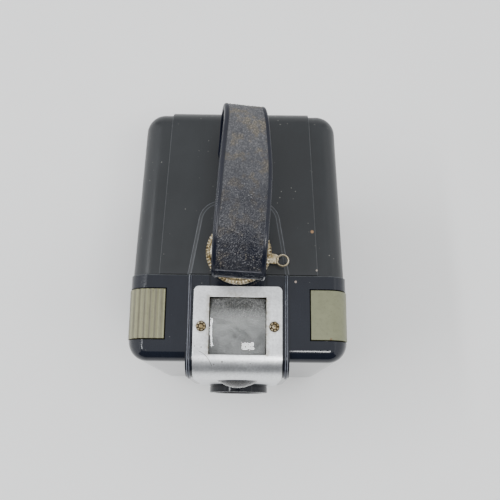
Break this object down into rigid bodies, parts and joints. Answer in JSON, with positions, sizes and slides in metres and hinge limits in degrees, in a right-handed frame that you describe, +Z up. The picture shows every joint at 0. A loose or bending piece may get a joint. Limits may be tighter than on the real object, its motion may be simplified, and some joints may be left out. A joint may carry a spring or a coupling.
{
  "type": "box camera",
  "caption": "Moulded roll-film box camera with a reflecting finder, a strap handle, a latch disc and a hinged back.",
  "frame": {"origin": "centre of the flat underside that the camera stands on", "axes": "+Z up, -Y the way the lens looks, +X the side of the time lever"},
  "size_m": [0.0995, 0.121, 0.148],
  "materials": {
    "front_moulding": "polished moulded phenolic, scuffed to satin on the top",
    "back_moulding": "moulded phenolic worn to an even satin, with fine scuffs",
    "hood_moulding": "black moulded phenolic",
    "knob_moulding": "black moulded phenolic with a fluted edge",
    "faceplate_aluminium": "satin rolled aluminium with small pits",
    "brass": "aged brass, dull in the recesses",
    "finder_glass": "clear optical glass",
    "mirror_glass": "silvered glass, hazed with age",
    "tinplate": "tinned sheet steel",
    "steel": "bright steel",
    "blackened_steel": "blackened sheet steel",
    "black_lacquer": "matt black lacquer",
    "button_ribbed": "aged ivory-grey moulding, front-to-back ribs",
    "button_plain": "aged olive-grey moulding",
    "strap_leather": "blue-black grained strap with smooth rims, scuffed grey",
    "ruby_glass": "ruby film-number window"
  },
  "bodies": {
    "front": {"front_shell": "front_moulding", "faceplate": "faceplate_aluminium", "faceplate_rivets": "brass", "finder_eye_lens": "finder_glass", "finder_objective_lens": "finder_glass", "finder_housing": "tinplate", "finder_mirror": "mirror_glass", "lens_hood": "hood_moulding", "taking_lens": "finder_glass", "lens_retainer": "blackened_steel", "shutter_plate": "tinplate", "shutter_screws": "steel", "shutter_pivots": "brass", "shutter_spring": "steel", "release_spring": "steel", "film_carrier": "black_lacquer", "carrier_screws": "steel", "roller_pins": "steel", "supply_spindles": "brass", "supply_spring": "steel", "takeup_spindle": "brass", "takeup_spring": "steel", "winding_bush": "brass", "hinge_pin": "steel", "latch_catch": "brass"},
    "back": {"back_shell": "back_moulding", "red_window": "ruby_glass", "window_ring": "hood_moulding", "latch_stud": "brass", "handle_strap": "strap_leather", "handle_stud_cap": "brass", "handle_rear_bracket": "tinplate", "handle_rear_rivets": "steel"},
    "latch": {"latch_disc": "brass"},
    "release": {"release_button": "button_ribbed", "release_stem": "steel"},
    "time": {"time_lever": "button_plain", "time_stem": "steel"},
    "lever": {"shutter_lever": "steel"},
    "blade": {"shutter_blade": "blackened_steel"},
    "clip": {"winder_clip": "steel"},
    "winder": {"winding_knob": "knob_moulding", "winding_shaft": "steel"},
    "spool": {"takeup_spool": "blackened_steel"},
    "upper_roller": {"film_roller_upper": "steel"},
    "lower_roller": {"film_roller_lower": "steel"}
  },
  "joints": [
    {"name": "back_hinge", "type": "hinge", "parent": "front", "child": "back", "pos_m": [0, -0.02, 0.0023], "axis": [-1, 0, 0], "range_deg": [0, 95]},
    {"name": "latch_turn", "type": "hinge", "parent": "back", "child": "latch", "pos_m": [0, -0.011, 0.118], "axis": [0, 0, 1], "range_deg": [0, 45]},
    {"name": "release_press", "type": "slide", "parent": "front", "child": "release", "axis": [0, 0, -1], "range_m": [0, 0.004], "stiffness_N_per_m": 250, "springref_m": -0.003, "deforming": ["release_spring"]},
    {"name": "lever_turn", "type": "hinge", "parent": "front", "child": "lever", "pos_m": [-0.016, -0.049, 0.068], "axis": [0, -1, 0], "range_deg": [0, 12]},
    {"name": "blade_turn", "type": "hinge", "parent": "front", "child": "blade", "pos_m": [0.014, -0.05, 0.048], "axis": [0, 1, 0], "range_deg": [0, 55]},
    {"name": "time_lift", "type": "slide", "parent": "front", "child": "time", "axis": [0, 0, 1], "range_m": [0, 0.004]},
    {"name": "knob_pull", "type": "slide", "parent": "front", "child": "clip", "axis": [-1, 0, 0], "range_m": [0, 0.004]},
    {"name": "knob_wind", "type": "hinge", "parent": "clip", "child": "winder", "pos_m": [-0.05, -0.0355, 0.019], "axis": [-1, 0, 0], "continuous": true},
    {"name": "spool_turn", "type": "hinge", "parent": "front", "child": "spool", "pos_m": [0, -0.0355, 0.019], "axis": [-1, 0, 0], "continuous": true},
    {"name": "upper_roller_turn", "type": "hinge", "parent": "front", "child": "upper_roller", "pos_m": [0, 0.0398, 0.0868], "axis": [1, 0, 0], "continuous": true},
    {"name": "lower_roller_turn", "type": "hinge", "parent": "front", "child": "lower_roller", "pos_m": [0, 0.0398, 0.0232], "axis": [1, 0, 0], "continuous": true}
  ],
  "couplings": [
    {"joint": "lever_turn", "follows": "release_press", "rad_per_m": 50},
    {"joint": "blade_turn", "follows": "release_press", "rad_per_m": 220},
    {"joint": "spool_turn", "follows": "knob_wind", "ratio": 1}
  ]
}
